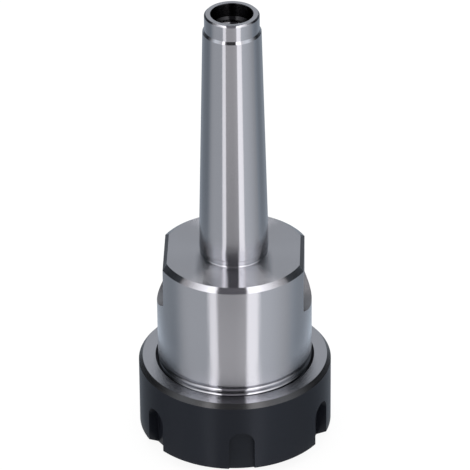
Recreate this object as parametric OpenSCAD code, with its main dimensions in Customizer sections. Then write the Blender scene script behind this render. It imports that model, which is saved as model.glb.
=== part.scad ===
// Collet chuck holder: a taper shank with a drawbar thread, a head with two spanner flats, a threaded nose,
// a slit spring collet and a slotted clamping nut. It stands on the front face of its nut.
// Origin: centre of the nut's front face, with the nut tight. +Z runs up along the shank. Millimetres.

/* [Taper shank] */
// Diameter of the taper at its gauge plane
gauge_d = 17.78; // [17:0.01:19]
// Axial length over which the taper's diameter changes by 1
taper_rate = 20.02; // [19:0.01:22]
// Distance from the head face up to the gauge plane
gauge_offset = 5; // [3:0.5:8]
// Distance from the gauge plane up to the small end
shank_l = 64; // [50:0.5:80]
// Diameter of the collar at the small end
collar_d = 13.9; // [12:0.1:14.2]
// Length of the collar
collar_l = 4.25; // [2:0.05:8]
// Height of the chamfer between collar and taper
collar_step_h = 0.7; // [0.2:0.05:1.5]
// Chamfer on the collar's outer edge
collar_edge = 0.4; // [0.1:0.05:0.8]
// Width of the relief groove at the foot of the shank
neck_w = 1.5; // [0.8:0.1:3]
// Depth of the relief groove
neck_depth = 0.4; // [0.1:0.05:0.8]

/* [Drawbar hole] */
// Diameter of the counterbore at the small end
counterbore_d = 10.6; // [9.6:0.1:11.4]
// Depth of the counterbore
counterbore_l = 3.6; // [1:0.1:6]
// Edge break at the mouth of the counterbore
mouth_edge = 0.15; // [0.05:0.05:0.4]
// Core diameter of the drawbar thread
drawbar_core_d = 8.5; // [6.8:0.1:9]
// Length of the drawbar thread
drawbar_thread_l = 24; // [12:0.5:40]
// Diameter of the hole from the drawbar thread to the collet socket
through_d = 6; // [3:0.1:6.5]

/* [Head] */
// Diameter of the head
head_d = 40; // [38:0.1:46]
// Height of the head above its thread
head_h = 28.8; // [26:0.1:40]
// Radial width of the chamfer round the head face
head_chamfer_w = 1.55; // [0.3:0.05:3]
// Height of the chamfer round the head face
head_chamfer_h = 1; // [0.3:0.05:3]
// Distance across the two spanner flats
flats_w = 36; // [32:0.5:37.5]
// Length of the flats from the head face to the lowest point of their ledge
flats_h = 14.8; // [8:0.1:24]
// Diameter of the milling cutter that leaves the round ledge
cutter_d = 35; // [24:0.5:60]
// Sideways offset of the cutter from the axis
cutter_offset = 1.2; // [0:0.1:3]
// Chamfer on the top edge of each flat
flat_edge = 1; // [0.2:0.05:2]

/* [Nose] */
// Outer diameter of the nose thread
nose_thread_d = 39.86; // [38.5:0.02:40.5]
// Length of nose thread that shows between nut and head when the nut is tight
thread_show = 2.7; // [1:0.1:6]
// Chamfer on the end of the nose
nose_chamfer = 1; // [0.3:0.1:2]
// Gap between the nose and the lip of the nut when the nut is tight
nose_gap = 0.8; // [0.4:0.1:2]
// Depth of the clearance behind the collet, in the socket
socket_relief = 4; // [2:0.5:8]

/* [Spring collet] */
// Largest diameter of the collet
collet_d = 33; // [31.5:0.1:34]
// Length of the collet
collet_l = 40; // [34:0.5:42]
// Diameter of the front face of the collet
collet_face_d = 27.2; // [26:0.1:29]
// Half angle of the front cone
front_angle = 30; // [25:1:40]
// Half angle of the rear cone
rear_angle = 8; // [6:0.5:9]
// Height of the plain band behind the front cone
collet_band_h = 0.9; // [0.4:0.1:2]
// Width of the extraction groove
groove_w = 3; // [2.4:0.1:4]
// Depth of the extraction groove
groove_depth = 2.2; // [1.6:0.1:3]
// Radial step from the largest diameter to the rear cone
rear_step = 0.25; // [0:0.05:0.6]
// Bore that grips the tool
collet_bore_d = 12; // [4:0.5:18]
// Number of slits from each end
slit_count = 8; // [3:1:8]
// Width of a slit
slit_w = 1; // [0.5:0.1:1.4]
// Uncut length at the closed end of a slit
slit_web = 5; // [3:0.5:10]
// Edge break on the rear end and at both mouths of the bore
collet_edge = 0.5; // [0.2:0.1:1]

/* [Clamping nut] */
// Outer diameter of the nut
nut_d = 50; // [48:0.5:58]
// Height of the nut
nut_h = 22.5; // [20:0.5:28]
// Outer diameter of the front face
nut_face_d = 40; // [34:0.5:44]
// Height of the front bevel
nut_bevel_h = 3; // [1:0.5:5]
// Radial width of the chamfer at the rear
nut_rear_chamfer_w = 1; // [0.3:0.1:2]
// Height of the chamfer at the rear
nut_rear_chamfer_h = 1.2; // [0.3:0.1:2]
// Radial width of the countersink at the rear opening
nut_countersink = 0.62; // [0.2:0.02:1.2]
// Distance of the collet's face above the nut's front face
collet_recess = 1; // [0.6:0.1:2]
// Diameter of the front opening
nut_mouth_d = 27; // [25:0.1:27.2]
// Radial reach of the eccentric lip into the collet's groove
lip_reach = 0.9; // [0.4:0.1:1.3]
// Width of the thread relief above the lip
nut_relief_w = 3; // [1.5:0.1:5]
// Depth of the thread relief
nut_relief_depth = 0.57; // [0.2:0.01:0.9]
// Number of wrench slots
slot_count = 6; // [4:1:8]
// Width of a wrench slot
slot_w = 6.6; // [4:0.1:9]
// Height of a wrench slot above the front face
slot_h = 14; // [8:0.5:17]
// Depth of a wrench slot
slot_depth = 3; // [1:0.1:3.4]
// Angle of the first wrench slot from the middle of the head's front
slot_phase = 5.5; // [0:0.5:60]

/* [Clearances] */
// Radial clearance of the nut's thread on the nose
thread_clearance = 0.1; // [0.05:0.01:0.2]
// Clearance square to the cones of the collet
seat_clearance = 0.05; // [0.02:0.01:0.1]
// Clearance on each side of the lip in the groove
lip_clearance = 0.5; // [0.3:0.05:0.7]
// Radial room around the largest diameter of the collet in the nut
collet_room = 0.5; // [0.3:0.05:0.8]
// Room behind the collet on the straight stretch of the socket's cone
socket_room = 1; // [0.5:0.1:2]

/* [Hidden] */
$fn = 128;
cut = 1;

collet_r = collet_d / 2;
collet_face_r = collet_face_d / 2;
rear_start_r = collet_r - rear_step;
groove_r = collet_r - groove_depth;
collet_bore_r = collet_bore_d / 2;

collet_z = collet_recess;
cone_top_z = collet_z + (collet_r - collet_face_r) / tan(front_angle);
groove_z = cone_top_z + collet_band_h;
rear_start_z = groove_z + groove_w;
collet_top_z = collet_z + collet_l;
rear_end_r = rear_start_r - (collet_top_z - rear_start_z) * tan(rear_angle);

lip_z = groove_z + lip_clearance;
lip_top_z = rear_start_z - lip_clearance;
lip_offset = lip_reach + collet_room;
lip_bore_r = collet_r + collet_room;
seat_offset = seat_clearance / cos(front_angle);
nut_mouth_r = nut_mouth_d / 2;
seat_z = collet_z - (collet_face_r + seat_offset - nut_mouth_r) / tan(front_angle);
seat_top_z = seat_z + (lip_bore_r - nut_mouth_r) / tan(front_angle);
nut_thread_r = nose_thread_d / 2 + thread_clearance;
slot_floor_r = nut_d / 2 - slot_depth;

nose_r = nose_thread_d / 2;
nose_z = lip_top_z + nose_gap;
head_z = nut_h + thread_show;
face_z = head_z + head_h;
gauge_z = face_z + gauge_offset;
top_z = gauge_z + shank_l;
socket_offset = seat_clearance / cos(rear_angle);
socket_top_z = collet_top_z + socket_room;
drill_point = 59;

function rear_cone_r(z) = rear_start_r - (z - rear_start_z) * tan(rear_angle);
function shank_r(z) = (gauge_d - (z - gauge_z) / taper_rate) / 2;
function drill_tip_h(from_r, to_r) = (from_r - to_r) / tan(drill_point);

module shank_and_head_outline() {
    neck_top_z = face_z + neck_w;
    neck_r = shank_r(neck_top_z) - neck_depth;
    collar_z = top_z - collar_l;
    step_z = collar_z - collar_step_h;
    polygon([
        [0, nose_z],
        [nose_r - nose_chamfer, nose_z],
        [nose_r, nose_z + nose_chamfer],
        [nose_r, head_z],
        [head_d / 2, head_z],
        [head_d / 2, face_z - head_chamfer_h],
        [head_d / 2 - head_chamfer_w, face_z],
        [neck_r, face_z],
        [neck_r, neck_top_z],
        [shank_r(neck_top_z + neck_depth), neck_top_z + neck_depth],
        [shank_r(step_z), step_z],
        [collar_d / 2, collar_z],
        [collar_d / 2, top_z - collar_edge],
        [collar_d / 2 - collar_edge, top_z],
        [0, top_z]
    ]);
}

module socket_outline() {
    mouth_r = rear_cone_r(nose_z) + socket_offset;
    end_r = rear_cone_r(socket_top_z) + socket_offset;
    relief_top_z = socket_top_z + socket_relief;
    through_r = through_d / 2;
    polygon([
        [0, nose_z - cut],
        [mouth_r + cut * tan(rear_angle), nose_z - cut],
        [end_r, socket_top_z],
        [end_r, relief_top_z],
        [through_r, relief_top_z + drill_tip_h(end_r, through_r)],
        [through_r, top_z],
        [0, top_z]
    ]);
}

module drawbar_outline() {
    core_r = drawbar_core_d / 2;
    counterbore_r = counterbore_d / 2;
    counterbore_z = top_z - counterbore_l;
    thread_top_z = counterbore_z - (counterbore_r - core_r);
    thread_z = thread_top_z - drawbar_thread_l;
    polygon([
        [0, thread_z - drill_tip_h(core_r, 0)],
        [core_r, thread_z],
        [core_r, thread_top_z],
        [counterbore_r, counterbore_z],
        [counterbore_r, top_z - mouth_edge],
        [counterbore_r + mouth_edge, top_z],
        [counterbore_r + mouth_edge, top_z + cut],
        [0, top_z + cut]
    ]);
}

module flat_cut() {
    ledge_z = face_z - flats_h;
    cutter_r = cutter_d / 2;
    reach = head_d / 2;
    translate([flats_w / 2, 0, 0])
        rotate([90, 0, 90])
            linear_extrude(reach) {
                translate([-cutter_offset, ledge_z + cutter_r]) circle(cutter_r);
                translate([-cutter_offset - cutter_r, ledge_z + cutter_r]) square([cutter_d, flats_h + cut]);
            }
    translate([0, head_d / 2, 0])
        rotate([90, 0, 0])
            linear_extrude(head_d)
                polygon([
                    [flats_w / 2 - flat_edge - cut, face_z + cut],
                    [flats_w / 2 + cut, face_z - flat_edge - cut],
                    [flats_w / 2 + reach, face_z - flat_edge - cut],
                    [flats_w / 2 + reach, face_z + cut]
                ]);
}

module chuck_body() {
    color("silver")
        difference() {
            rotate_extrude() shank_and_head_outline();
            rotate_extrude() socket_outline();
            rotate_extrude() drawbar_outline();
            for (side = [0, 180]) rotate(side) flat_cut();
        }
}

module collet_outline() {
    polygon([
        [collet_bore_r + collet_edge, collet_z],
        [collet_face_r, collet_z],
        [collet_r, cone_top_z],
        [collet_r, groove_z],
        [groove_r, groove_z],
        [groove_r, rear_start_z],
        [rear_start_r, rear_start_z],
        [rear_cone_r(collet_top_z - collet_edge), collet_top_z - collet_edge],
        [rear_end_r - collet_edge, collet_top_z],
        [collet_bore_r + collet_edge, collet_top_z],
        [collet_bore_r, collet_top_z - collet_edge],
        [collet_bore_r, collet_z + collet_edge]
    ]);
}

module slits(from_z, to_z, turn) {
    for (i = [0 : slit_count - 1])
        rotate(turn + i * 360 / slit_count)
            translate([0, -slit_w / 2, from_z])
                cube([collet_d, slit_w, to_z - from_z]);
}

module collet() {
    color("lightgray")
        difference() {
            rotate_extrude() collet_outline();
            slits(collet_z - cut, collet_top_z - slit_web, 0);
            slits(collet_z + slit_web, collet_top_z + cut, 180 / slit_count);
        }
}

module nut_outline() {
    polygon([
        [0, 0],
        [nut_face_d / 2, 0],
        [nut_d / 2, nut_bevel_h],
        [nut_d / 2, nut_h - nut_rear_chamfer_h],
        [nut_d / 2 - nut_rear_chamfer_w, nut_h],
        [0, nut_h]
    ]);
}

module nut_seat_outline() {
    polygon([
        [0, -cut],
        [nut_mouth_r, -cut],
        [nut_mouth_r, seat_z],
        [lip_bore_r, seat_top_z],
        [lip_bore_r, lip_z],
        [0, lip_z]
    ]);
}

module nut_thread_outline() {
    relief_top_z = lip_top_z + nut_relief_w;
    relief_r = nut_thread_r + nut_relief_depth;
    polygon([
        [0, lip_top_z],
        [relief_r, lip_top_z],
        [relief_r, relief_top_z],
        [nut_thread_r, relief_top_z + nut_relief_depth],
        [nut_thread_r, nut_h - nut_countersink],
        [nut_thread_r + nut_countersink, nut_h],
        [nut_thread_r + nut_countersink, nut_h + cut],
        [0, nut_h + cut]
    ]);
}

module wrench_slot() {
    arch_z = slot_h - slot_w / 2;
    translate([slot_floor_r, 0, 0])
        rotate([90, 0, 90])
            linear_extrude(slot_depth + cut) {
                translate([-slot_w / 2, -cut]) square([slot_w, arch_z + cut]);
                translate([0, arch_z]) circle(slot_w / 2);
            }
}

module clamping_nut() {
    color("dimgray")
        difference() {
            rotate_extrude() nut_outline();
            rotate_extrude() nut_seat_outline();
            rotate_extrude() nut_thread_outline();
            translate([lip_offset, 0, lip_z]) cylinder(h = lip_top_z - lip_z + cut, r = lip_bore_r);
            for (i = [0 : slot_count - 1]) rotate(slot_phase - 90 + i * 360 / slot_count) wrench_slot();
        }
}

chuck_body();
collet();
clamping_nut();
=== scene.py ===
import math

import bpy
from mathutils import Euler, Matrix


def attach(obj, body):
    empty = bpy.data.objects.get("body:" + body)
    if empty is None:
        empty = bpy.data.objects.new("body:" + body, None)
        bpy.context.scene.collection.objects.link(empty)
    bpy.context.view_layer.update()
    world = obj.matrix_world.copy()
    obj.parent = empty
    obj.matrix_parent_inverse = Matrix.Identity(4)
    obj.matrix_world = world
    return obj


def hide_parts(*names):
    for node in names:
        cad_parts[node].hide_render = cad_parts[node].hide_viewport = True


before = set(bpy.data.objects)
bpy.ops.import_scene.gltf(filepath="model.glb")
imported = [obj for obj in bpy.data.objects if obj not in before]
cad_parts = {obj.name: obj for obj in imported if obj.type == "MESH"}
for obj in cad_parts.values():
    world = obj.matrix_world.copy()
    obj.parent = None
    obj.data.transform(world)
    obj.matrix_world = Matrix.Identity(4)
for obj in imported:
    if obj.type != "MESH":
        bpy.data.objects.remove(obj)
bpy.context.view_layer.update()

mm = 0.001
# How far a cutter runs past what it cuts, and how far it stands off beside it, in millimetres
runOut = 1.0
sideRoom = 0.5


# Small helpers for working by operator

def deselectAll():
    if bpy.context.mode != "OBJECT":
        bpy.ops.object.mode_set(mode="OBJECT")
    bpy.ops.object.select_all(action="DESELECT")


def pick(piece):
    deselectAll()
    piece.select_set(True)
    bpy.context.view_layer.objects.active = piece


def editAll(piece):
    pick(piece)
    bpy.ops.object.mode_set(mode="EDIT")
    bpy.ops.mesh.select_all(action="SELECT")


def leaveEdit():
    bpy.ops.object.mode_set(mode="OBJECT")


def nameLast(name):
    # the newest primitive gets its name, and its place goes into its mesh
    piece = bpy.context.object
    piece.name = piece.data.name = name
    bpy.ops.object.transform_apply(location=True, rotation=True, scale=True)
    return piece


def traceOutline(name, points):
    # one vertex is extruded from point to point, each (radius, height) in millimetres
    deselectAll()
    firstRadius, firstHeight = points[0]
    bpy.ops.mesh.primitive_plane_add(size=mm, location=(firstRadius * mm, 0, firstHeight * mm))
    piece = nameLast(name)
    editAll(piece)
    bpy.ops.mesh.merge(type="CENTER")
    for here, there in zip(points, points[1:]):
        step = ((there[0] - here[0]) * mm, 0, (there[1] - here[1]) * mm)
        bpy.ops.mesh.extrude_region_move(TRANSFORM_OT_translate={"value": step})
    leaveEdit()
    return piece


def faceOutwards(piece):
    editAll(piece)
    bpy.ops.mesh.normals_make_consistent(inside=False)
    leaveEdit()
    outermost = max(piece.data.polygons, key=lambda face: face.center.xy.length)
    if outermost.normal.xy.dot(outermost.center.xy) < 0:
        editAll(piece)
        bpy.ops.mesh.flip_normals()
        leaveEdit()


def closeSeams(piece):
    editAll(piece)
    bpy.ops.mesh.remove_doubles(threshold=0.0002 * mm)
    leaveEdit()
    faceOutwards(piece)


def turnOnLathe(name, points, steps=192):
    piece = traceOutline(name, points)
    editAll(piece)
    bpy.ops.mesh.spin(steps=steps, angle=2 * math.pi, center=(0, 0, 0), axis=(0, 0, 1))
    leaveEdit()
    closeSeams(piece)
    return piece


def applyModifier(piece, kind, **values):
    modifier = piece.modifiers.new(kind.title(), kind)
    for key, value in values.items():
        setattr(modifier, key, value)
    pick(piece)
    bpy.ops.object.modifier_apply(modifier=modifier.name)


def combine(piece, tool, operation):
    # the tool's finish goes onto the faces that it leaves
    applyModifier(piece, "BOOLEAN", operation=operation, object=tool, solver="EXACT",
                  material_mode="TRANSFER")
    print(operation, tool.name, "left", len(piece.data.polygons), "faces")
    bpy.data.objects.remove(tool)


# The shoulder of a thread's crest is a slight curve, steep at the outside: (inwards, along the axis)
shoulderCurve = ((0, 0), (0.29, 0.322), (0.62, 0.62), (1, 0.896))


def threadForm(thread, lowZ, swell):
    # one pitch of the thread's section, from one crest up to the next
    pitch = thread["pitch"]
    edge = thread["crestEdge"]
    crest = thread["crestRadius"] + swell
    root = thread["rootRadius"] + swell
    shoulder = [(crest - inwards * edge, thread["crestFlat"] / 2 + along * edge)
                for inwards, along in shoulderCurve]
    flank = shoulder[-1][1] + (crest - edge - root) * math.tan(math.radians(30))
    startZ = thread["crestZ"] - pitch * math.ceil((thread["crestZ"] - lowZ) / pitch + 0.5)
    form = [(radius, startZ + rise) for radius, rise in shoulder]
    form += [(root, startZ + flank), (root, startZ + pitch - flank)]
    form += [(radius, startZ + pitch - rise) for radius, rise in reversed(shoulder)]
    form.append((form[0][0], form[0][1] + pitch))
    return form


def cutRodThread(name, thread, lowZ, highZ, swell=0.0):
    # the form is screwed up round Z, then both ends are cut off square and closed
    piece = traceOutline(name, threadForm(thread, lowZ, swell))
    applyModifier(piece, "SCREW", axis="Z", angle=2 * math.pi, screw_offset=thread["pitch"] * mm,
                  iterations=math.ceil((highZ - lowZ) / thread["pitch"]) + 2,
                  steps=thread["steps"], render_steps=thread["steps"])
    closeSeams(piece)
    for height, up in ((lowZ, -1), (highZ, 1)):
        editAll(piece)
        bpy.ops.mesh.bisect(plane_co=(0, 0, height * mm), plane_no=(0, 0, up), clear_outer=True)
        leaveEdit()
    closeSeams(piece)
    editAll(piece)
    bpy.ops.mesh.fill_holes(sides=0)
    leaveEdit()
    faceOutwards(piece)
    return piece


edgeValues = {
    "bevelAngle": 22,
    "bevelSegments": 2,
    "smoothAngle": 20,
    "normalWeight": 80,
}


def roundEdges(piece, width):
    applyModifier(piece, "BEVEL", width=width * mm, segments=edgeValues["bevelSegments"],
                  limit_method="ANGLE", angle_limit=math.radians(edgeValues["bevelAngle"]),
                  harden_normals=False, use_clamp_overlap=True)


def shadeByAngle(piece):
    # wide faces keep their true normals, so the narrow rounded edges take up the turn between them
    pick(piece)
    bpy.ops.object.shade_smooth_by_angle(angle=math.radians(edgeValues["smoothAngle"]))
    applyModifier(piece, "WEIGHTED_NORMAL", mode="FACE_AREA", weight=edgeValues["normalWeight"],
                  keep_sharp=True)


print("helpers ready")


# Node helpers for the finishes and the stage

def newMaterial(name):
    material = bpy.data.materials.new(name)
    material.use_nodes = True
    return material, material.node_tree


def setInputs(tree, node, inputs):
    for socket, value in inputs.items():
        if isinstance(value, bpy.types.NodeSocket):
            tree.links.new(value, node.inputs[socket])
        else:
            node.inputs[socket].default_value = value


def addNode(tree, kind, inputs=None, **settings):
    node = tree.nodes.new(kind)
    for key, value in settings.items():
        setattr(node, key, value)
    setInputs(tree, node, inputs or {})
    return node


def addMath(tree, operation, *values):
    return addNode(tree, "ShaderNodeMath", dict(enumerate(values)), operation=operation).outputs[0]


def addVectorMath(tree, operation, *values, scale=None):
    inputs = dict(enumerate(values))
    if scale is not None:
        inputs["Scale"] = scale
    outputs = addNode(tree, "ShaderNodeVectorMath", inputs, operation=operation).outputs
    return outputs["Value" if operation == "LENGTH" else "Vector"]


def addSlope(tree, value, fromRange, toRange):
    ends = {"Value": value, "From Min": fromRange[0], "From Max": fromRange[1],
            "To Min": toRange[0], "To Max": toRange[1]}
    return addNode(tree, "ShaderNodeMapRange", ends).outputs[0]


def addBlend(tree, factor, first, second):
    return addNode(tree, "ShaderNodeMix", {0: factor, 6: first, 7: second}, data_type="RGBA").outputs[2]


def splitPlace(tree, place):
    return addNode(tree, "ShaderNodeSeparateXYZ", {0: place}).outputs[:]


def objectPlace(tree):
    return addNode(tree, "ShaderNodeTexCoord").outputs["Object"]


def turnNormal(tree, normal, fromSpace, toSpace):
    return addNode(tree, "ShaderNodeVectorTransform", {0: normal}, vector_type="NORMAL",
                   convert_from=fromSpace, convert_to=toSpace).outputs[0]


def turnedCoordinates(tree, across, around):
    # rings round the axis: fine steps along radius and height, slow ones round the piece
    x, y, z = splitPlace(tree, objectPlace(tree))
    flatPlace = addNode(tree, "ShaderNodeCombineXYZ", {0: x, 1: y}).outputs[0]
    radius = addVectorMath(tree, "LENGTH", flatPlace)
    heading = addVectorMath(tree, "NORMALIZE", flatPlace)
    slow = addVectorMath(tree, "SCALE", heading, scale=around)
    fine = addMath(tree, "MULTIPLY", addMath(tree, "ADD", radius, z), across)
    lift = addNode(tree, "ShaderNodeCombineXYZ", {2: fine}).outputs[0]
    return addVectorMath(tree, "ADD", slow, lift)


# Turning marks, in metres: two values are for the head and for the shank
markValues = {
    "shankFoot": 0.0541,
    "shoulders": (0.0225, 0.054),
    "busyHeight": 0.006,
    "calmHeights": (0.012, 0.018),
    "shankShare": 0.2,
    "perMetreAcross": 150000,
    "round": 900,
}


def spreadAlongProfile(tree, nearSpread, farSpread):
    # turning marks tilt the normal along the turned profile, never round the axis,
    # by one amount close above a shoulder and by another further up
    v = markValues
    x, y, z = splitPlace(tree, objectPlace(tree))
    onShank = addMath(tree, "GREATER_THAN", z, v["shankFoot"])

    def choose(onHeadValue, onShankValue):
        return addMath(tree, "MULTIPLY_ADD", onShank, onShankValue - onHeadValue, onHeadValue)

    height = addMath(tree, "SUBTRACT", z, choose(*v["shoulders"]))
    calm = choose(*v["calmHeights"])
    near = choose(nearSpread, nearSpread * v["shankShare"])
    amount = addSlope(tree, height, (v["busyHeight"], calm), (near, farSpread))

    back = addMath(tree, "MULTIPLY", y, -1.0)
    circling = addNode(tree, "ShaderNodeCombineXYZ", {0: back, 1: x}).outputs[0]
    circling = addVectorMath(tree, "NORMALIZE", circling)
    normal = addNode(tree, "ShaderNodeNewGeometry").outputs["Normal"]
    normal = turnNormal(tree, normal, "WORLD", "OBJECT")
    profile = addVectorMath(tree, "CROSS_PRODUCT", normal, circling)

    grain = turnedCoordinates(tree, v["perMetreAcross"], v["round"])
    grain = addNode(tree, "ShaderNodeTexNoise", {"Vector": grain, "Scale": 1.0, "Detail": 0.0})
    tilt = addSlope(tree, grain.outputs["Fac"], (0, 1), (-1, 1))
    tilt = addMath(tree, "MULTIPLY", tilt, amount)
    lean = addVectorMath(tree, "SCALE", profile, scale=tilt)
    normal = addVectorMath(tree, "ADD", normal, lean)
    return addVectorMath(tree, "NORMALIZE", turnNormal(tree, normal, "OBJECT", "WORLD"))


steelSettings = {
    "colour": (0.585, 0.587, 0.61, 1),
    "paleColour": (0.615, 0.617, 0.64, 1),
    "roughness": (0.115, 0.145),
    "marksPerMetre": 9000,
    "marksRound": 1.5,
    "markDetail": 4.0,
    "markRoughness": 0.6,
    "wearRange": (0.0, 1.0),
    "spread": 0.45,
    "farSpread": 0.16,
    "anisotropy": 1.0,
    "anisotropyTurn": 0.25,
    "metallic": 1.0,
    "specularLevel": 0.5,
    "specularTint": (1, 1, 1, 1),
    "refraction": 1.5,
}
faceSettings = dict(steelSettings, roughness=(0.11, 0.17), marksPerMetre=12000, farSpread=0.73)
ringSettings = dict(faceSettings, spread=0.5, farSpread=0.5)
milledSettings = dict(
    steelSettings, colour=(0.33, 0.33, 0.34, 1), paleColour=(0.40, 0.40, 0.41, 1),
    roughness=(0.30, 0.40), anisotropy=0.3, spread=0.2)
threadSettings = dict(
    steelSettings, colour=(0.58, 0.58, 0.6, 1), paleColour=(0.61, 0.61, 0.63, 1),
    roughness=(0.09, 0.12), spread=0.1)
# painted shade: the steel inside the bores is made near black so that the deep holes stay dark
boreShadeSettings = dict(
    steelSettings, colour=(0.03, 0.03, 0.031, 1), paleColour=(0.042, 0.042, 0.044, 1),
    roughness=(0.2, 0.3))
# painted shade: the drawbar thread's steel is darkened for the deep hole it sits in
tapShadeSettings = dict(
    threadSettings, colour=(0.15, 0.15, 0.16, 1), paleColour=(0.19, 0.19, 0.2, 1))
oxideSettings = dict(
    steelSettings, colour=(0.0095, 0.0108, 0.0155, 1), paleColour=(0.0125, 0.014, 0.0195, 1),
    roughness=(0.38, 0.46), marksPerMetre=5000, spread=0.1, farSpread=0.1, anisotropy=0.8,
    metallic=0.0, specularLevel=0.25, specularTint=(0.82, 0.9, 1, 1))
wornSettings = dict(
    oxideSettings, colour=(0.007, 0.0075, 0.009, 1), paleColour=(0.019, 0.0185, 0.0195, 1),
    roughness=(0.2, 0.28), marksPerMetre=16000, marksRound=2.5, wearRange=(0.35, 0.85),
    spread=0.22, farSpread=0.22, specularLevel=0.38, specularTint=(1, 1, 1, 1), refraction=2.0)


def makeTurnedSteel(name, settings):
    material, tree = newMaterial(name)
    rings = turnedCoordinates(tree, settings["marksPerMetre"], settings["marksRound"])
    marks = addNode(tree, "ShaderNodeTexNoise", {
        "Vector": rings, "Scale": 1.0, "Detail": settings["markDetail"],
        "Roughness": settings["markRoughness"]}).outputs["Fac"]
    share = addSlope(tree, marks, settings["wearRange"], (0, 1))
    setInputs(tree, tree.nodes["Principled BSDF"], {
        "Base Color": addBlend(tree, share, settings["colour"], settings["paleColour"]),
        "Roughness": addSlope(tree, marks, (0, 1), settings["roughness"]),
        "Normal": spreadAlongProfile(tree, settings["spread"], settings["farSpread"]),
        "Tangent": addNode(tree, "ShaderNodeTangent", direction_type="RADIAL", axis="Z").outputs[0],
        "Metallic": settings["metallic"],
        "Specular IOR Level": settings["specularLevel"],
        "Specular Tint": settings["specularTint"],
        "IOR": settings["refraction"],
        "Anisotropic": settings["anisotropy"],
        "Anisotropic Rotation": settings["anisotropyTurn"],
    })
    return material


turnedSteel = makeTurnedSteel("turnedSteel", steelSettings)
facedSteel = makeTurnedSteel("facedSteel", faceSettings)
ringSteel = makeTurnedSteel("ringSteel", ringSettings)
milledSteel = makeTurnedSteel("milledSteel", milledSettings)
threadSteel = makeTurnedSteel("threadSteel", threadSettings)
boreSteelPaintedShade = makeTurnedSteel("boreSteelPaintedShade", boreShadeSettings)
tapSteelPaintedShade = makeTurnedSteel("tapSteelPaintedShade", tapShadeSettings)
blackOxide = makeTurnedSteel("blackOxide", oxideSettings)
wornOxide = makeTurnedSteel("wornOxide", wornSettings)
print("finishes ready")


# Chuck body: shank, head with two spanner flats, threaded nose. Millimetres and degrees

bodyValues = {
    "gaugeRadius": 8.89,
    "taperRate": 20.02,
    "gaugeZ": 59.0,
    "topZ": 123.0,
    "collarRadius": 6.95,
    "collarLength": 4.25,
    "collarStep": 0.7,
    "collarEdge": 0.4,
    "neckWidth": 1.5,
    "neckDepth": 0.4,
    "neckFillet": 0.35,
    "headRadius": 20.0,
    "headZ": 25.2,
    "faceZ": 54.0,
    "chamferWidth": 1.55,
    "chamferHeight": 1.0,
    "flatX": 18.0,
    "flatEdge": 1.0,
    "cutterRadius": 17.5,
    "cutterDepth": 6.0,
    "cutterOffset": 1.2,
    "barLength": 60.0,
    "ledgeZ": 39.2,
    "reliefZ": 24.4,
    "noseZ": 10.223,
    "noseChamfer": 1.0,
    "noseSink": 0.02,
    "noseOverlap": 0.2,
    "drillPoint": 59,
    "drawbarTopZ": 118.35,
    "drawbarLowZ": 94.35,
    "tapLowZ": 96.35,
    "counterboreZ": 119.4,
    "counterboreRadius": 5.3,
    "mouthEdge": 0.15,
    "throughRadius": 3.0,
    "edgeRound": 0.12,
    "socketMouthRadius": 16.258,
    "socketEndRadius": 11.792,
    "socketTopZ": 42.0,
    "reliefTopZ": 46.0,
}
noseThread = {
    "pitch": 1.5,
    "crestRadius": 19.93,
    "rootRadius": 19.13,
    "crestFlat": 0.36,
    "crestEdge": 0.34,
    "crestZ": 25.49,
    "steps": 120,
}
drawbarThread = {
    "pitch": 1.5,
    "crestRadius": 5.05,
    "rootRadius": 4.25,
    "crestFlat": 0.19,
    "crestEdge": 0.1,
    "crestZ": 100.0,
    "steps": 48,
}


def shankRadius(z):
    v = bodyValues
    return v["gaugeRadius"] - (z - v["gaugeZ"]) / v["taperRate"] / 2


def drillTip(fromRadius, toRadius):
    return (fromRadius - toRadius) / math.tan(math.radians(bodyValues["drillPoint"]))


def bodyOutline():
    v = bodyValues
    neckTopZ = v["faceZ"] + v["neckWidth"]
    neckRadius = shankRadius(neckTopZ) - v["neckDepth"]
    collarZ = v["topZ"] - v["collarLength"]
    stepZ = collarZ - v["collarStep"]
    blankRadius = noseThread["rootRadius"] - v["noseSink"]
    blankZ = v["reliefZ"] - v["noseOverlap"]
    fillet = v["neckFillet"]
    foot = [(neckRadius + fillet * (1 - math.sin(turn)), v["faceZ"] + fillet * (1 - math.cos(turn)))
            for turn in (math.radians(15 * step) for step in range(7))]
    return [
        (0, blankZ),
        (blankRadius, blankZ),
        (blankRadius, v["headZ"]),
        (v["headRadius"], v["headZ"]),
        (v["headRadius"], v["faceZ"] - v["chamferHeight"]),
        (v["headRadius"] - v["chamferWidth"], v["faceZ"]),
        *foot,
        (neckRadius, neckTopZ),
        (shankRadius(neckTopZ + v["neckDepth"]), neckTopZ + v["neckDepth"]),
        (shankRadius(stepZ), stepZ),
        (v["collarRadius"], collarZ),
        (v["collarRadius"], v["topZ"] - v["collarEdge"]),
        (v["collarRadius"] - v["collarEdge"], v["topZ"]),
        (0, v["topZ"]),
    ]


def millFlat(body, side):
    # a round cutter leaves the ledge under the flat
    v = bodyValues
    depth = v["cutterDepth"]
    deselectAll()
    bpy.ops.mesh.primitive_cylinder_add(
        vertices=256, radius=v["cutterRadius"] * mm, depth=depth * mm, rotation=(0, math.pi / 2, 0),
        location=(side * (v["flatX"] + depth / 2) * mm, -side * v["cutterOffset"] * mm,
                  (v["ledgeZ"] + v["cutterRadius"]) * mm))
    cutter = nameLast("flatCutter")
    cutter.data.materials.append(milledSteel)
    combine(body, cutter, "DIFFERENCE")

    # a bar on its edge breaks the top edge of the flat
    inset = depth / 2 / math.sqrt(2) - v["flatEdge"] / 2
    deselectAll()
    bpy.ops.mesh.primitive_cube_add(
        size=1, scale=(depth * mm, v["barLength"] * mm, depth * mm), rotation=(0, math.pi / 4, 0),
        location=(side * (v["flatX"] + inset) * mm, 0, (v["faceZ"] + inset) * mm))
    chamfer = nameLast("chamferCutter")
    chamfer.data.materials.append(milledSteel)
    combine(body, chamfer, "DIFFERENCE")


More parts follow.
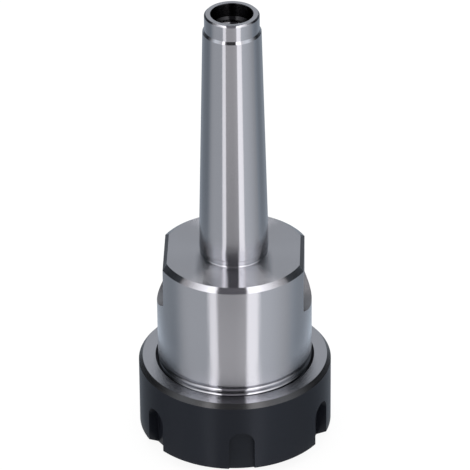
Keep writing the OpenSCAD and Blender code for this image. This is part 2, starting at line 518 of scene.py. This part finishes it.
def addNose(body):
    v = bodyValues
    nose = cutRodThread("noseThread", noseThread, v["noseZ"] - runOut, v["reliefZ"] + runOut)
    nose.data.materials.append(threadSteel)
    outside = noseThread["crestRadius"] + sideRoom
    blank = turnOnLathe("noseBlank", [
        (0, v["noseZ"]),
        (noseThread["crestRadius"] - v["noseChamfer"], v["noseZ"]),
        (outside, v["noseZ"] + v["noseChamfer"] + sideRoom),
        (outside, v["reliefZ"]),
        (0, v["reliefZ"]),
    ])
    combine(nose, blank, "INTERSECT")
    combine(body, nose, "UNION")


def boreSocket(body):
    v = bodyValues
    slope = (v["socketMouthRadius"] - v["socketEndRadius"]) / (v["socketTopZ"] - v["noseZ"])
    tipZ = v["reliefTopZ"] + drillTip(v["socketEndRadius"], v["throughRadius"])
    socket = turnOnLathe("socketCutter", [
        (0, v["noseZ"] - runOut),
        (v["socketMouthRadius"] + slope * runOut, v["noseZ"] - runOut),
        (v["socketEndRadius"], v["socketTopZ"]),
        (v["socketEndRadius"], v["reliefTopZ"]),
        (v["throughRadius"], tipZ),
        (v["throughRadius"], v["tapLowZ"]),
        (0, v["tapLowZ"]),
    ])
    socket.data.materials.append(boreSteelPaintedShade)
    combine(body, socket, "DIFFERENCE")


def boreDrawbarHole(body):
    v = bodyValues
    core = drawbarThread["rootRadius"]
    hole = turnOnLathe("drawbarHole", [
        (0, v["drawbarLowZ"] - drillTip(core, 0)),
        (core, v["drawbarLowZ"]),
        (core, v["drawbarTopZ"]),
        (v["counterboreRadius"], v["counterboreZ"]),
        (v["counterboreRadius"], v["topZ"] - v["mouthEdge"]),
        (v["counterboreRadius"] + v["mouthEdge"] + sideRoom, v["topZ"] + sideRoom),
        (0, v["topZ"] + sideRoom),
    ], steps=96)
    hole.data.materials.append(boreSteelPaintedShade)
    combine(body, hole, "DIFFERENCE")
    tap = cutRodThread("drawbarTap", drawbarThread, v["tapLowZ"], v["counterboreZ"] + sideRoom)
    tap.data.materials.append(tapSteelPaintedShade)
    combine(body, tap, "DIFFERENCE")


def makeChuckBody():
    body = turnOnLathe("chuckBody", bodyOutline())
    body.data.materials.append(turnedSteel)
    for side in (1, -1):
        millFlat(body, side)
    closeSeams(body)
    roundEdges(body, bodyValues["edgeRound"])
    addNose(body)
    boreSocket(body)
    boreDrawbarHole(body)
    closeSeams(body)
    shadeByAngle(body)
    body.data.materials.append(facedSteel)
    faced = len(body.data.materials) - 1
    for face in body.data.polygons:
        if face.normal.z > 0.95 and abs(face.center.z - bodyValues["faceZ"] * mm) < 0.01 * mm:
            face.material_index = faced
    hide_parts("chuck_body")
    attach(body, "chuck_body")
    return body


chuckBody = makeChuckBody()
print("chuck body ready", len(chuckBody.data.polygons))


# Clamping nut, in millimetres and degrees

nutValues = {
    "radius": 25.0,
    "height": 22.5,
    "faceRadius": 20.0,
    "bevelHeight": 3.0,
    "rearChamferWidth": 1.0,
    "rearChamferHeight": 1.2,
    "mouthRadius": 13.5,
    "seatZ": 0.727,
    "seatTopZ": 6.789,
    "seatRadius": 17.0,
    "lipZ": 7.423,
    "lipTopZ": 9.423,
    "lipOffset": 1.4,
    "lipStock": 0.2,
    "reliefRadius": 20.6,
    "reliefTopZ": 12.423,
    "threadRadius": 20.03,
    "minorRadius": 19.28,
    "threadClearance": 0.1,
    "countersink": 0.62,
    "slotCount": 6,
    "slotWidth": 6.6,
    "slotHeight": 14.0,
    "slotFloor": 22.0,
    "slotAngle": -84.5,
    "slotCutterDepth": 5,
    "edgeRound": 0.15,
    "wornRadius": 23.5,
}


def nutOutline():
    v = nutValues
    lipBlank = v["seatRadius"] - v["lipOffset"] - v["lipStock"]
    sinkZ = v["height"] - v["countersink"] - (v["threadRadius"] - v["minorRadius"])
    return [
        (v["mouthRadius"], 0),
        (v["faceRadius"], 0),
        (v["radius"], v["bevelHeight"]),
        (v["radius"], v["height"] - v["rearChamferHeight"]),
        (v["radius"] - v["rearChamferWidth"], v["height"]),
        (v["threadRadius"] + v["countersink"], v["height"]),
        (v["minorRadius"], sinkZ),
        (v["minorRadius"], v["reliefTopZ"] + (v["reliefRadius"] - v["minorRadius"])),
        (v["reliefRadius"], v["reliefTopZ"]),
        (v["reliefRadius"], v["lipTopZ"]),
        (lipBlank, v["lipTopZ"]),
        (lipBlank, v["lipZ"]),
        (v["seatRadius"], v["lipZ"]),
        (v["seatRadius"], v["seatTopZ"]),
        (v["mouthRadius"], v["seatZ"]),
        (v["mouthRadius"], 0),
    ]


def boreLip(nut):
    # the bore of the lip stands off the axis
    v = nutValues
    depth = v["lipTopZ"] - v["lipZ"] + runOut
    deselectAll()
    bpy.ops.mesh.primitive_cylinder_add(
        vertices=192, radius=v["seatRadius"] * mm, depth=depth * mm,
        location=(v["lipOffset"] * mm, 0, (v["lipZ"] + depth / 2) * mm))
    lipCutter = nameLast("lipCutter")
    lipCutter.data.materials.append(blackOxide)
    combine(nut, lipCutter, "DIFFERENCE")


def cutWrenchSlot(nut, turn):
    # a round cutter whose lower half is drawn out past the front face
    v = nutValues
    archZ = v["slotHeight"] - v["slotWidth"] / 2
    depth = v["slotCutterDepth"]
    reach = v["slotFloor"] + depth / 2
    deselectAll()
    bpy.ops.mesh.primitive_cylinder_add(
        vertices=96, radius=v["slotWidth"] / 2 * mm, depth=depth * mm, rotation=(0, math.pi / 2, turn),
        location=(reach * math.cos(turn) * mm, reach * math.sin(turn) * mm, archZ * mm))
    slot = nameLast("slotCutter")
    slot.data.materials.append(blackOxide)
    editAll(slot)
    bpy.ops.mesh.select_all(action="DESELECT")
    leaveEdit()
    for vertex in slot.data.vertices:
        vertex.select = vertex.co.z < (archZ - 0.01) * mm
    bpy.ops.object.mode_set(mode="EDIT")
    bpy.ops.transform.translate(value=(0, 0, -(archZ + runOut) * mm))
    leaveEdit()
    combine(nut, slot, "DIFFERENCE")


def makeClampingNut():
    v = nutValues
    nut = turnOnLathe("clampingNut", nutOutline())
    nut.data.materials.append(blackOxide)
    nut.data.materials.append(ringSteel)
    boreLip(nut)
    tap = cutRodThread("nutTap", noseThread, v["lipTopZ"] + runOut, v["height"] + runOut,
                       swell=v["threadClearance"])
    tap.data.materials.append(blackOxide)
    combine(nut, tap, "DIFFERENCE")
    for index in range(v["slotCount"]):
        cutWrenchSlot(nut, math.radians(v["slotAngle"] + index * 360 / v["slotCount"]))

    closeSeams(nut)
    roundEdges(nut, v["edgeRound"])
    shadeByAngle(nut)
    nut.data.materials.append(wornOxide)
    chamferZ = v["height"] - v["rearChamferHeight"] - 0.1
    for face in nut.data.polygons:
        if face.center.z > (v["height"] - 0.05) * mm and face.normal.z > 0.9:
            face.material_index = 1
        elif face.center.z > chamferZ * mm and face.center.xy.length > v["wornRadius"] * mm:
            face.material_index = len(nut.data.materials) - 1
    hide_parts("clamping_nut")
    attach(nut, "clamping_nut")
    return nut


clampingNut = makeClampingNut()
print("clamping nut ready", len(clampingNut.data.polygons))


# Spring collet keeps its solid and takes a finish

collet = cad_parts["collet"]
collet.data.materials.clear()
collet.data.materials.append(turnedSteel)
print("collet ready")


# Camera, in metres and degrees

cameraValues = {
    "place": (0.032063, -0.974222, 0.655902),
    "yaw": 1.8666,
    "pitch": 31.5059,
    "roll": -0.5072,
    "lens": 341.93,
    "sensorWidth": 36,
    "clip": (0.05, 20),
}


def makeCamera():
    v = cameraValues
    data = bpy.data.cameras.new("camera")
    data.lens = v["lens"]
    data.sensor_width = v["sensorWidth"]
    data.clip_start, data.clip_end = v["clip"]
    camera = bpy.data.objects.new("camera", data)
    bpy.context.scene.collection.objects.link(camera)
    aim = Euler((math.radians(90 - v["pitch"]), 0, math.radians(v["yaw"]))).to_matrix().to_4x4()
    roll = Matrix.Rotation(math.radians(v["roll"]), 4, "Z")
    camera.matrix_world = Matrix.Translation(v["place"]) @ aim @ roll
    bpy.context.scene.camera = camera


# Cards round the object: (heading from the front in degrees, right is positive; brightness; tint)

coolTint = (0.88, 0.99, 1.13)
mildTint = (0.95, 0.99, 1.06)
plainTint = (1.0, 0.985, 1.02)
lowCards = [
    (-180, 0.33, coolTint),
    (-146, 0.33, coolTint),
    (-128, 0.25, coolTint),
    (-105, 0.22, coolTint),
    (-96, 0.24, coolTint),
    (-80, 0.42, mildTint),
    (-70, 0.46, mildTint),
    (-35.8, 0.46, mildTint),
    (-35.2, 1.14, plainTint),
    (-23.6, 1.14, plainTint),
    (-23.0, 0.48, plainTint),
    (2, 0.47, plainTint),
    (19.6, 0.55, plainTint),
    (20.2, 1.30, plainTint),
    (37.8, 1.30, plainTint),
    (38.4, 0.64, mildTint),
    (54, 0.60, mildTint),
    (71, 0.52, mildTint),
    (89, 0.40, mildTint),
    (99, 0.33, coolTint),
    (110, 0.26, coolTint),
    (122, 0.25, coolTint),
    (148, 0.34, coolTint),
    (180, 0.33, coolTint),
]
shadeValues = {
    "footShadowStretch": (-23.2, 20),
    "footShadowShare": 0.45,
    "paleFrom": 100,
    "paleGain": 0.55,
}


def paintFootShadow(heading):
    # painted shadow: the stretch in front that the foot of the shank mirrors is darker, standing in for
    # the object's own shadow on the floor
    left, right = shadeValues["footShadowStretch"]
    return shadeValues["footShadowShare"] if left < heading < right else 1


def paleBehind(heading):
    # close to the object the floor is paler behind it
    start = shadeValues["paleFrom"]
    return max(0, abs(heading) - start) / (180 - start) * shadeValues["paleGain"]


# painted shadow: the low cards, darkened where the shank's foot mirrors the floor
footShadowCards = [(heading, level * paintFootShadow(heading), tint) for heading, level, tint in lowCards]
nearCards = [(heading, level + paleBehind(heading), tint) for heading, level, tint in lowCards]
horizonCards = [
    (-180, 0.38, plainTint),
    (-168, 0.36, plainTint),
    (-162, 0.09, coolTint),
    (-100, 0.05, coolTint),
    (-85, 0.30, mildTint),
    (-42, 0.6, mildTint),
    (-37, 1.5, plainTint),
    (-27, 1.5, plainTint),
    (-24, 0.18, plainTint),
    (18, 0.18, plainTint),
    (23, 1.5, plainTint),
    (39, 1.5, plainTint),
    (44, 0.6, mildTint),
    (85, 0.30, mildTint),
    (100, 0.05, coolTint),
    (162, 0.09, coolTint),
    (168, 0.36, plainTint),
    (180, 0.38, plainTint),
]
middleCards = [
    (-180, 0.46, mildTint),
    (-152, 0.46, mildTint),
    (-148, 0.12, coolTint),
    (-120, 0.02, coolTint),
    (-103, 0.01, coolTint),
    (-90, 0.14, mildTint),
    (-76, 0.60, mildTint),
    (-66, 0.95, mildTint),
    (-54, 0.85, mildTint),
    (-37.5, 0.6, plainTint),
    (-36, 2.0, plainTint),
    (-26.5, 2.0, plainTint),
    (-25.5, 0.03, plainTint),
    (16.5, 0.03, plainTint),
    (17.5, 1.95, plainTint),
    (36.5, 1.95, plainTint),
    (38, 0.90, plainTint),
    (56, 0.97, mildTint),
    (66, 1.00, mildTint),
    (82, 0.53, mildTint),
    (97, 0.15, mildTint),
    (108, 0.01, coolTint),
    (120, 0.02, coolTint),
    (148, 0.12, coolTint),
    (152, 0.46, mildTint),
    (180, 0.46, mildTint),
]
backCards = [
    (-180, 0.46, mildTint),
    (-142, 0.46, mildTint),
    (-134, 0.06, coolTint),
    (134, 0.06, coolTint),
    (142, 0.46, mildTint),
    (180, 0.46, mildTint),
]
# Soft boxes: (distance from the middle plane as a share of the dome's radius; brightness; tint)
boxLevels = [
    (0, 1.95, plainTint),
    (0.35, 1.95, plainTint),
    (0.47, 1.2, plainTint),
    (0.63, 0.75, plainTint),
    (0.8, 0.3, plainTint),
    (1, 0.2, plainTint),
]
# The same straight above, where the boxes are narrower
topLevels = [
    (0, 1.9, plainTint),
    (0.27, 1.9, plainTint),
    (0.31, 1.45, plainTint),
    (0.4, 1.3, plainTint),
    (0.44, 1.1, plainTint),
    (0.5, 0.72, plainTint),
    (0.56, 0.28, plainTint),
    (0.62, 0.1, plainTint),
    (0.68, 0.5, plainTint),
    (0.8, 0.3, plainTint),
    (1, 0.2, plainTint),
]

# Light tent, in metres and degrees. Pairs are where a blend starts and ends, or a place and its radius
tentValues = {
    "radius": 0.9,
    "holeRadius": 0.027,
    "floorGap": 0.0002,
    "floorRim": (0.0003, 0.002),
    "headMirror": (0.1025, 0.0195),
    "shankMirror": (0.109, 0.0085),
    "veil": (0.03, 0.175),
    "veilReach": (0.065, 0.1),
    "veilColour": (0.82, 0.84, 0.88),
    "horizonTop": (9, 15),
    "middleTop": (40, 52),
    "overheadGap": (0.171, 0.09),
    "gapColours": ((0.01, 0.01, 0.011, 1), (0.13, 0.126, 0.14, 1)),
    "gapRise": (-0.2, 0.5),
    "gapShift": 0.027,
    "gapEdge": 0.015,
    "topRise": (0.04, 0.16),
    "boxBack": (0.7, -0.8),
    "backEdge": 0.04,
    "nearReach": (0.045, 0.075),
    "footShadowReach": (0.122, 0.156),
    "fullStrength": 2.0,
}


def addRamp(tree, factor, stops):
    node = addNode(tree, "ShaderNodeValToRGB", {"Fac": factor})
    elements = node.color_ramp.elements
    for index, (position, brightness, tint) in enumerate(stops):
        element = elements[index] if index < 2 else elements.new(position)
        element.position = position
        element.color = [brightness * part / tentValues["fullStrength"] for part in tint] + [1]
    return node.outputs["Color"]


def addCards(tree, share, cards):
    return addRamp(tree, share, [((heading + 180) / 360, level, tint) for heading, level, tint in cards])


def findHeading(tree, x, ahead, reach):
    # the heading of a ray counts from the round side that it left, which is the head's near the foot
    (nearReach, headRadius), (farReach, footRadius) = tentValues["headMirror"], tentValues["shankMirror"]
    mirror = addSlope(tree, reach, (nearReach, farReach), (headRadius, footRadius))
    half = addMath(tree, "MULTIPLY", addMath(tree, "ARCTAN2", x, ahead), 0.5)
    aside = addMath(tree, "MULTIPLY", addMath(tree, "SINE", half), mirror)
    nearer = addMath(tree, "MULTIPLY", addMath(tree, "COSINE", half), mirror)
    return addMath(tree, "ARCTAN2", addMath(tree, "SUBTRACT", x, aside),
                   addMath(tree, "SUBTRACT", ahead, nearer))


def lightFloor(tree, share, reach):
    v = tentValues
    mirrors = (v["headMirror"][0], v["shankMirror"][0])
    # painted shadow: between the two mirrored reaches, the low cards give way to the darker foot cards
    inFootShadow = addMath(tree, "MULTIPLY", addSlope(tree, reach, mirrors, (0, 1)),
                     addSlope(tree, reach, v["footShadowReach"], (1, 0)))
    low = addBlend(tree, inFootShadow, addCards(tree, share, lowCards), addCards(tree, share, footShadowCards))
    closeUp = addSlope(tree, reach, v["nearReach"], (1, 0))
    low = addBlend(tree, closeUp, low, addCards(tree, share, nearCards))

    # a thin veil of pale light over what the head mirrors
    veil = addMath(tree, "MULTIPLY", addSlope(tree, reach, mirrors, (1, 0)),
                   addSlope(tree, reach, v["veilReach"], v["veil"]))
    veilColour = [part / v["fullStrength"] for part in v["veilColour"]] + [1]
    return addBlend(tree, veil, low, veilColour)


def lightOverhead(tree, place, share):
    # two soft boxes with a dark gap between them that runs from front to back, and cards behind them
    v = tentValues
    towardsCamera = addNode(
        tree, "ShaderNodeVectorRotate", {"Vector": place, "Angle": -math.radians(cameraValues["yaw"])},
        rotation_type="Z_AXIS").outputs[0]
    sideways, behind = splitPlace(tree, towardsCamera)[:2]
    across = addMath(tree, "DIVIDE", addMath(tree, "ABSOLUTE", sideways), v["radius"])
    forward = addMath(tree, "DIVIDE", behind, -v["radius"])

    gapWidth, gapSpread = v["overheadGap"]
    gapEdge = addMath(tree, "ADD", addMath(tree, "MULTIPLY", forward, gapSpread), gapWidth)
    fromGap = addMath(tree, "DIVIDE", addMath(tree, "ADD", sideways, v["gapShift"]), v["radius"])
    pastGap = addMath(tree, "SUBTRACT", addMath(tree, "ABSOLUTE", fromGap), gapEdge)
    pastGap = addSlope(tree, pastGap, (0, v["gapEdge"]), (0, 1))
    gap = addBlend(tree, addSlope(tree, forward, v["gapRise"], (0, 1)), *v["gapColours"])

    backPlace, backTurn = v["boxBack"]
    backEdge = addMath(tree, "ADD", addMath(tree, "MULTIPLY", across, backTurn), backPlace)
    beforeBack = addSlope(tree, addMath(tree, "ADD", backEdge, forward), (0, v["backEdge"]), (0, 1))
    dark = addBlend(tree, beforeBack, addCards(tree, share, backCards), gap)

    box = addBlend(tree, addSlope(tree, forward, v["topRise"], (0, 1)),
                   addRamp(tree, across, topLevels), addRamp(tree, across, boxLevels))
    return addBlend(tree, addMath(tree, "MULTIPLY", pastGap, beforeBack), dark, box)


def makeCardGlow():
    v = tentValues
    material, tree = newMaterial("cardGlow")
    tree.nodes.clear()
    place = objectPlace(tree)
    x, y, z = splitPlace(tree, place)
    ahead = addMath(tree, "MULTIPLY", y, -1.0)
    reach = addMath(tree, "SQRT", addMath(tree, "ADD", addMath(tree, "MULTIPLY", x, x),
                                          addMath(tree, "MULTIPLY", y, y)))
    elevation = addMath(tree, "DEGREES", addMath(tree, "ARCTAN2", z, reach))
    heading = findHeading(tree, x, ahead, reach)
    share = addMath(tree, "ADD", addMath(tree, "DIVIDE", heading, 2 * math.pi), 0.5)

    lit = lightFloor(tree, share, reach)
    for height, blend, above in (
            (z, v["floorRim"], addCards(tree, share, horizonCards)),
            (elevation, v["horizonTop"], addCards(tree, share, middleCards)),
            (elevation, v["middleTop"], lightOverhead(tree, place, share))):
        lit = addBlend(tree, addSlope(tree, height, blend, (0, 1)), lit, above)
    emission = addNode(tree, "ShaderNodeEmission", {"Color": lit, "Strength": v["fullStrength"]})
    addNode(tree, "ShaderNodeOutputMaterial", {"Surface": emission.outputs[0]})
    return material


def makeTent():
    # a dome and an apron on the floor that only reflections see, like the cards of a light tent
    v = tentValues
    deselectAll()
    bpy.ops.mesh.primitive_uv_sphere_add(segments=96, ring_count=48, radius=v["radius"])
    tent = nameLast("cardTent")
    editAll(tent)
    bpy.ops.mesh.bisect(plane_co=(0, 0, v["floorGap"]), plane_no=(0, 0, -1), clear_outer=True)
    leaveEdit()
    deselectAll()
    bpy.ops.mesh.primitive_circle_add(vertices=96, radius=v["holeRadius"], fill_type="NOTHING",
                                      location=(0, 0, v["floorGap"]))
    apron = nameLast("apron")
    editAll(apron)
    bpy.ops.mesh.extrude_edges_move()
    spread = v["radius"] / v["holeRadius"]
    bpy.ops.transform.resize(value=(spread, spread, 1))
    leaveEdit()
    pick(tent)
    apron.select_set(True)
    bpy.ops.object.join()
    tent.data.materials.append(makeCardGlow())
    tent.visible_camera = False
    tent.visible_diffuse = False
    tent.visible_shadow = False
    tent.visible_transmission = False


# Floor and world

floorValues = {
    "size": 8,
    "paper": (0.95, 0.95, 0.95, 1),
    "glow": 1.06,
    "glowShare": 0.85,
}


def makeFloor():
    v = floorValues
    deselectAll()
    bpy.ops.mesh.primitive_plane_add(size=v["size"])
    floor = nameLast("floor")
    material, tree = newMaterial("floorPaper")
    tree.nodes.clear()
    path = addNode(tree, "ShaderNodeLightPath").outputs
    seen = addMath(tree, "ADD", path["Is Camera Ray"], path["Is Glossy Ray"])
    seen = addMath(tree, "ADD", seen, path["Is Transmission Ray"])
    share = addMath(tree, "MULTIPLY", seen, v["glowShare"])
    paper = addNode(tree, "ShaderNodeBsdfDiffuse", {"Color": v["paper"]}).outputs[0]
    glow = addNode(tree, "ShaderNodeEmission", {"Color": (1, 1, 1, 1), "Strength": v["glow"]}).outputs[0]
    mix = addNode(tree, "ShaderNodeMixShader", {0: share, 1: paper, 2: glow}).outputs[0]
    addNode(tree, "ShaderNodeOutputMaterial", {"Surface": mix})
    floor.data.materials.append(material)


def makeLight():
    world = bpy.data.worlds.new("studio")
    bpy.context.scene.world = world
    world.use_nodes = True
    background = world.node_tree.nodes["Background"]
    background.inputs["Color"].default_value = (1, 1, 1, 1)
    background.inputs["Strength"].default_value = 1.0


makeCamera()
makeTent()
makeFloor()
makeLight()
bpy.context.scene.view_settings.view_transform = "Standard"
print("stage ready")
